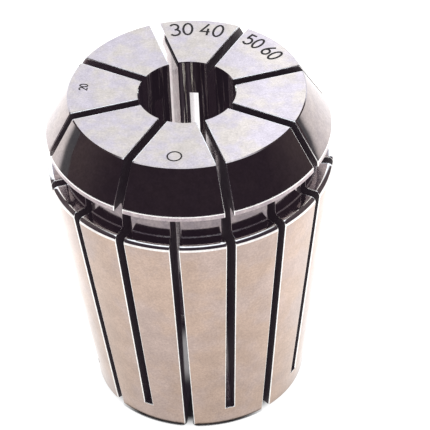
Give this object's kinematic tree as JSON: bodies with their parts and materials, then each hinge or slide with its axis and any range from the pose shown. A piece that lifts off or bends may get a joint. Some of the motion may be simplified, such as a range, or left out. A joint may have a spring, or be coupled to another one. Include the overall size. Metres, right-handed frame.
{
  "type": "er collet",
  "caption": "Slotted spring collet: a sleeve with a long seat taper, an extraction groove and a nose cone, whose fingers close on a round tool shank in its bore.",
  "frame": {"origin": "centre of the small end face, on the axis", "axes": "+Z along the axis, from the small end to the nose face; +X and +Y each pass through a slot that is open at the small end"},
  "size_m": [0.0328, 0.0328, 0.04],
  "materials": {
    "steel": "hardened and ground, satin, with faint stains from handling"
  },
  "bodies": {
    "root": {"collet": "steel"}
  },
  "joints": []
}
